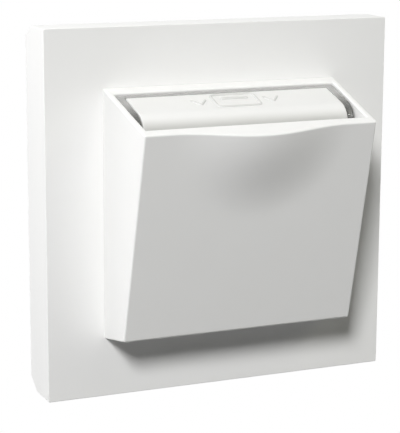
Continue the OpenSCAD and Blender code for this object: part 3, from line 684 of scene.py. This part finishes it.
# %% Drawn metal group
drawn_metal, given, made = new_group(
    "drawn_metal",
    [("Colour", COLOUR, (0.6, 0.6, 0.6, 1)), ("Shade", COLOUR, (0.5, 0.5, 0.5, 1)),
     ("Roughness", NUMBER, 0.3), ("Spread", NUMBER, 0.2),
     ("Streak Scale", NUMBER, 900.0), ("Patch Scale", NUMBER, 220.0)], PATTERN)
n, link = drawn_metal.nodes, drawn_metal.links.new
where = add(n, "ShaderNodeTexCoord")
stretch = add(n, "ShaderNodeMapping", values={"Scale": (0.06, 1.0, 1.0)})
streak = add(n, "ShaderNodeTexNoise", values={"Detail": 3.0})
patch = add(n, "ShaderNodeTexVoronoi")
link(where.outputs["Object"], stretch.inputs["Vector"])
link(stretch.outputs["Vector"], streak.inputs["Vector"])
link(where.outputs["Object"], patch.inputs["Vector"])
link(given.outputs["Streak Scale"], streak.inputs["Scale"])
link(given.outputs["Patch Scale"], patch.inputs["Scale"])
tint = mixed(drawn_metal, patch.outputs["Color"], given.outputs["Colour"], given.outputs["Shade"])
link(tint, made.inputs["Colour"])
link(uneven(drawn_metal, given, streak.outputs["Fac"]), made.inputs["Roughness"])
link(streak.outputs["Fac"], made.inputs["Height"])
print(f"{drawn_metal.name}: {len(n)} nodes")

# %% A finish from a group
RELIEF = 0.02 * MM


def finish_from(group, name, values, bump, **shader_values):
    """A material: the group feeds colour, roughness and bump, and plain numbers go straight on the shader."""
    material = bpy.data.materials.new(name)
    material.use_nodes = True
    nodes, link = material.node_tree.nodes, material.node_tree.links.new
    shader = nodes["Principled BSDF"]
    pattern = add(nodes, "ShaderNodeGroup", node_tree=group)
    for label, value in values.items():
        pattern.inputs[label].default_value = value
    relief = add(nodes, "ShaderNodeBump", values={"Strength": bump, "Distance": RELIEF})
    link(pattern.outputs["Colour"], shader.inputs["Base Color"])
    link(pattern.outputs["Roughness"], shader.inputs["Roughness"])
    link(pattern.outputs["Height"], relief.inputs["Height"])
    link(relief.outputs["Normal"], shader.inputs["Normal"])
    for label, value in shader_values.items():
        shader.inputs[label.replace("_", " ")].default_value = value
    return material


def tone(red, green, blue):
    """A colour with full alpha."""
    return (red, green, blue, 1.0)


print(f"the bump's full relief is {RELIEF / MM:.2f} mm")

# %% [markdown]
# ## Plastics
# The cover and the pocket are a satin white that is a trace warm. The strip is a little darker and smoother,
# and the mark on it is painted a soft grey, as painted shade on its raised lines. The hidden mouldings are
# greyer and coarser, and the lever is nearly black. Each row gives a name, two colours to cloud between,
# roughness, its spread and the bump's strength.

# %% Plastic finishes
plastics = {
    "white_plastic": ("satin_white_moulding", (0.86, 0.86, 0.853), (0.85, 0.85, 0.84), 0.33, 0.06, 0.05),
    "white_strip": ("smooth_white_strip", (0.795, 0.795, 0.787), (0.785, 0.785, 0.775), 0.32, 0.05, 0.03),
    # The mark's grey is painted shade: it stands in for the shade on the sides of its raised lines.
    "strip_mark": ("soft_grey_mark", (0.66, 0.66, 0.65), (0.62, 0.62, 0.61), 0.36, 0.05, 0.03),
    "grey_plastic": ("grey_moulding", (0.4, 0.41, 0.43), (0.36, 0.37, 0.39), 0.5, 0.15, 0.3),
    "dark_plastic": ("dark_lever_moulding", (0.08, 0.085, 0.09), (0.06, 0.065, 0.07), 0.45, 0.15, 0.3),
    "insert_plastic": ("off_white_insert", (0.78, 0.78, 0.76), (0.74, 0.74, 0.71), 0.45, 0.12, 0.25),
    "resistor_body": ("lacquered_resistor", (0.66, 0.52, 0.34), (0.58, 0.44, 0.28), 0.35, 0.1, 0.1),
    "board": ("white_lamp_board", (0.82, 0.83, 0.82), (0.74, 0.75, 0.73), 0.4, 0.08, 0.2),
}
finer_clouds = {"board": {"Cloud Scale": 400.0}}
finishes = {}
for slot, (name, colour, shade, roughness, spread_by, bump) in plastics.items():
    values = {"Colour": tone(*colour), "Shade": tone(*shade), "Roughness": roughness, "Spread": spread_by}
    finishes[slot] = finish_from(moulded_skin, name, values | finer_clouds.get(slot, {}), bump)
print("plastic finishes:", sorted(finishes))

# %% [markdown]
# ## Metals and clear pieces
# The plate is galvanised sheet with large pale and dark patches. Screws, springs and contacts are finer. The
# lens and the lamps are clear: they let light through and bend it, and their tint varies only a little.

# %% Metal finishes
METAL_BUMP = 0.1
metals = {
    "galvanised_steel": ("galvanised_plate", (0.62, 0.64, 0.66), (0.5, 0.52, 0.54), 0.38, 160.0),
    "screw_steel": ("zinc_screws", (0.66, 0.67, 0.68), (0.58, 0.59, 0.6), 0.28, 700.0),
    "spring_steel": ("spring_wire", (0.6, 0.6, 0.61), (0.52, 0.52, 0.53), 0.25, 900.0),
    "brass": ("stamped_brass", (0.78, 0.6, 0.28), (0.7, 0.52, 0.23), 0.3, 500.0),
    "silver": ("contact_silver", (0.85, 0.84, 0.82), (0.78, 0.77, 0.74), 0.22, 900.0)}
for slot, (name, colour, shade, roughness, patch_scale) in metals.items():
    values = {"Colour": tone(*colour), "Shade": tone(*shade),
              "Roughness": roughness, "Patch Scale": patch_scale}
    finishes[slot] = finish_from(drawn_metal, name, values, METAL_BUMP, Metallic=1.0)
print("metal finishes:", sorted(metals))

# %% Clear finishes
CLEAR_SPREAD, CLEAR_IOR = 0.02, 1.49
clear_pieces = {"clear_lens": ("clear_lens_block", (0.97, 0.97, 0.96), (0.92, 0.92, 0.9), 0.03, 0.65),
                "lamp_resin": ("clear_lamp_resin", (0.95, 0.95, 0.9), (0.9, 0.9, 0.83), 0.08, 0.8)}
for slot, (name, colour, shade, roughness, clearness) in clear_pieces.items():
    values = {"Colour": tone(*colour), "Shade": tone(*shade), "Roughness": roughness, "Spread": CLEAR_SPREAD}
    finishes[slot] = finish_from(moulded_skin, name, values, 0.0,
                                 Transmission_Weight=clearness, IOR=CLEAR_IOR)
print("clear finishes:", sorted(clear_pieces))

# %% [markdown]
# ## Painted shade towards the slot
# The strip and the lens get painted shade near the open slot: their colours turn greyer along the rim's
# slope, in place of the shade that falls there under the lip and of the dark channel seen through the lens.
# The slope is measured on Object coordinates.

# %% Painted shade along the slope
PAINTED_SHADE_WARMTH = 0.97


def paint_shade_along_slope(material, start, end, grey):
    """Paints shade: multiplies a finish's colour by a grey that sets in smoothly from start to end, in mm
    along the rim.
    """
    tree = material.node_tree
    shader = tree.nodes["Principled BSDF"]
    before = shader.inputs["Base Color"].links[0].from_socket
    where = add(tree.nodes, "ShaderNodeTexCoord")
    slope = add(tree.nodes, "ShaderNodeVectorMath", operation="DOT_PRODUCT",
                values={1: (0, -math.cos(rim_lean), -math.sin(rim_lean))})
    foot = frame_depth * math.cos(rim_lean) - foot_half * math.sin(rim_lean)
    setting_in = add(tree.nodes, "ShaderNodeMapRange", interpolation_type="SMOOTHSTEP",
                     values={"From Min": (foot + start) * MM, "From Max": (foot + end) * MM})
    tree.links.new(where.outputs["Object"], slope.inputs[0])
    tree.links.new(slope.outputs["Value"], setting_in.inputs["Value"])
    # The painted shade: the warm grey is multiplied into the finish's colour.
    after = mixed(tree, setting_in.outputs["Result"], before, tone(grey, grey, PAINTED_SHADE_WARMTH * grey), "MULTIPLY")
    tree.links.new(after, shader.inputs["Base Color"])


# Painted shade near the slot: each row gives where the grey starts and ends, in mm along the rim, and the
# grey.
PAINTED_SLOT_SHADE = {"white_strip": (roll_start + 2, lens_front + 0.4, 0.5),
               "clear_lens": (roll_start - 6, roll_start + 2, 0.3)}
for slot, (start, end, grey) in PAINTED_SLOT_SHADE.items():
    paint_shade_along_slope(finishes[slot], start, end, grey)
    print(f"{slot} gets greyer from {start:.1f} to {end:.1f} mm along the rim")

# %% Give every piece its finish
slot_of = {row["node"]: row["material_slot"] for row in frame["record"]["subparts"]}
for name, node in frame["nodes"].items():
    node.data.materials.clear()
    node.data.materials.append(finishes[slot_of[name]])
for piece, _, slot, _ in new_pieces:
    piece.data.materials.append(finishes.get(piece.name, finishes[slot]))
print("finished nodes:", len(frame["nodes"]), "and new pieces:", len(new_pieces))

# %% [markdown]
# ## Floor and world
# The switch hangs in front of plain white, as in a catalogue. A pale floor lies below it, out of the camera's
# view. The world is white for what the camera, a gloss or the lens sees, and dimmer as a light on the object.

# %% Pale floor
FLOOR_DROP, FLOOR_R, FLOOR_T, FLOOR_SIDES = 0.5, 0.42, 0.01, 96
floor_z = cad_box[0][2] - FLOOR_DROP
rings = np.array([(0, -FLOOR_T), (FLOOR_R - FLOOR_T, -FLOOR_T), (FLOOR_R, -FLOOR_T / 2),
                  (FLOOR_R, 0), (0, 0)]) / MM
disc = turned(rings, (0, 0), FLOOR_SIDES)[..., [0, 2, 1]] * [1, 1, -1] + [0, floor_z / MM, 0]
floor = skin("floor", [disc])
floor_values = {"Colour": tone(0.86, 0.86, 0.85), "Shade": tone(0.85, 0.85, 0.84),
                "Roughness": 0.6, "Cloud Scale": 8.0}
floor.data.materials.append(finish_from(moulded_skin, "pale_floor", floor_values, 0.0))

# %% White world
AMBIENT = 0.01
world = bpy.data.worlds.new("white_room")
bpy.context.scene.world = world
world.use_nodes = True
n, link = world.node_tree.nodes, world.node_tree.links.new
ray = add(n, "ShaderNodeLightPath")
seen = add(n, "ShaderNodeMath", operation="MAXIMUM")
seen_or_through = add(n, "ShaderNodeMath", operation="MAXIMUM")
dim = add(n, "ShaderNodeBackground", values={"Color": tone(1, 1, 0.985), "Strength": AMBIENT})
white = add(n, "ShaderNodeBackground", values={"Color": tone(1, 1, 1), "Strength": 1.0})
blend = add(n, "ShaderNodeMixShader")
link(ray.outputs["Is Camera Ray"], seen.inputs[0])
link(ray.outputs["Is Glossy Ray"], seen.inputs[1])
link(seen.outputs[0], seen_or_through.inputs[0])
link(ray.outputs["Is Transmission Ray"], seen_or_through.inputs[1])
link(seen_or_through.outputs[0], blend.inputs["Fac"])
link(dim.outputs[0], blend.inputs[1])
link(white.outputs[0], blend.inputs[2])
link(blend.outputs[0], n["World Output"].inputs["Surface"])
print(f"{world.name}: strength {AMBIENT} as a light, full white where it is seen")

# %% [markdown]
# ## Studio light
# The photograph is lit by a strong lamp high on the left, near the camera, which throws the dark shadow under
# the pocket. Weaker and larger lamps on the left, on the right and behind brighten the sides, and the right
# one is a trace yellow. All are area lamps, so the shadows have soft edges. Each row gives azimuth and
# elevation in degrees, distance and size in metres, and watts.

# %% Soft lamps
LAMPS = {"key": (-33, 34, 1.1, 0.26, 11.2), "left": (-90, 15, 1.1, 0.5, 3.0),
         "right": (55, 38, 1.2, 0.7, 2.1), "rear_left": (-122, 14, 1.1, 0.65, 4.8),
         "rear_top": (-170, 74, 1.1, 0.8, 2.3), "rear_right": (105, 5, 1.1, 0.6, 4.5)}
TINTS = {"right": (1.0, 1.0, 0.84)}
for name, (azimuth, elevation, distance, size, watts) in LAMPS.items():
    lamp = bpy.data.lights.new(f"{name}_lamp", "AREA")
    lamp.shape, lamp.size, lamp.energy = "SQUARE", size, watts
    lamp.color = TINTS.get(name, (1.0, 1.0, 1.0))
    holder = bpy.data.objects.new(f"{name}_lamp", lamp)
    a, e = math.radians(azimuth), math.radians(elevation)
    toward = np.array([math.sin(a) * math.cos(e), -math.cos(a) * math.cos(e), math.sin(e)])
    holder.location = toward * distance
    holder.rotation_euler = holder.location.to_track_quat("Z", "Y").to_euler()
    bpy.context.scene.collection.objects.link(holder)
bpy.context.scene.view_settings.view_transform = "Standard"
print("lamps in watts:", {name: row[-1] for name, row in LAMPS.items()})

# %% [markdown]
# ## Camera
# The camera stands left of the switch and a little above it. Its place, angles and focal length come from
# fitting the edges of the frame and the pocket in the photograph.

# %% Camera
IMAGE_HEIGHT = 433
FOCAL_PIXELS = 1641.3
YAW, PITCH, ROLL = np.radians([23.382, 11.931, 0.252])
AIM = np.array([-5.362, -frame_depth, -2.154]) * MM
DISTANCE = 393.257 * MM
forward = np.array([math.sin(YAW) * math.cos(PITCH), math.cos(YAW) * math.cos(PITCH), -math.sin(PITCH)])
level = np.array([math.cos(YAW), -math.sin(YAW), 0])
upright = np.cross(level, forward)
right = math.cos(ROLL) * level + math.sin(ROLL) * upright
up = math.cos(ROLL) * upright - math.sin(ROLL) * level
camera = bpy.data.objects.new("camera", bpy.data.cameras.new("camera"))
bpy.context.scene.collection.objects.link(camera)
camera.data.sensor_width = 36.0
camera.data.lens = FOCAL_PIXELS / IMAGE_HEIGHT * camera.data.sensor_width
camera.data.clip_start = 0.01
axes = np.column_stack([right, up, -forward, AIM - DISTANCE * forward])
camera.matrix_world = Matrix(np.vstack([axes, [0, 0, 0, 1]]).tolist())
bpy.context.scene.camera = camera
print("camera at", [round(x, 4) for x in camera.location], "lens", round(camera.data.lens, 2))
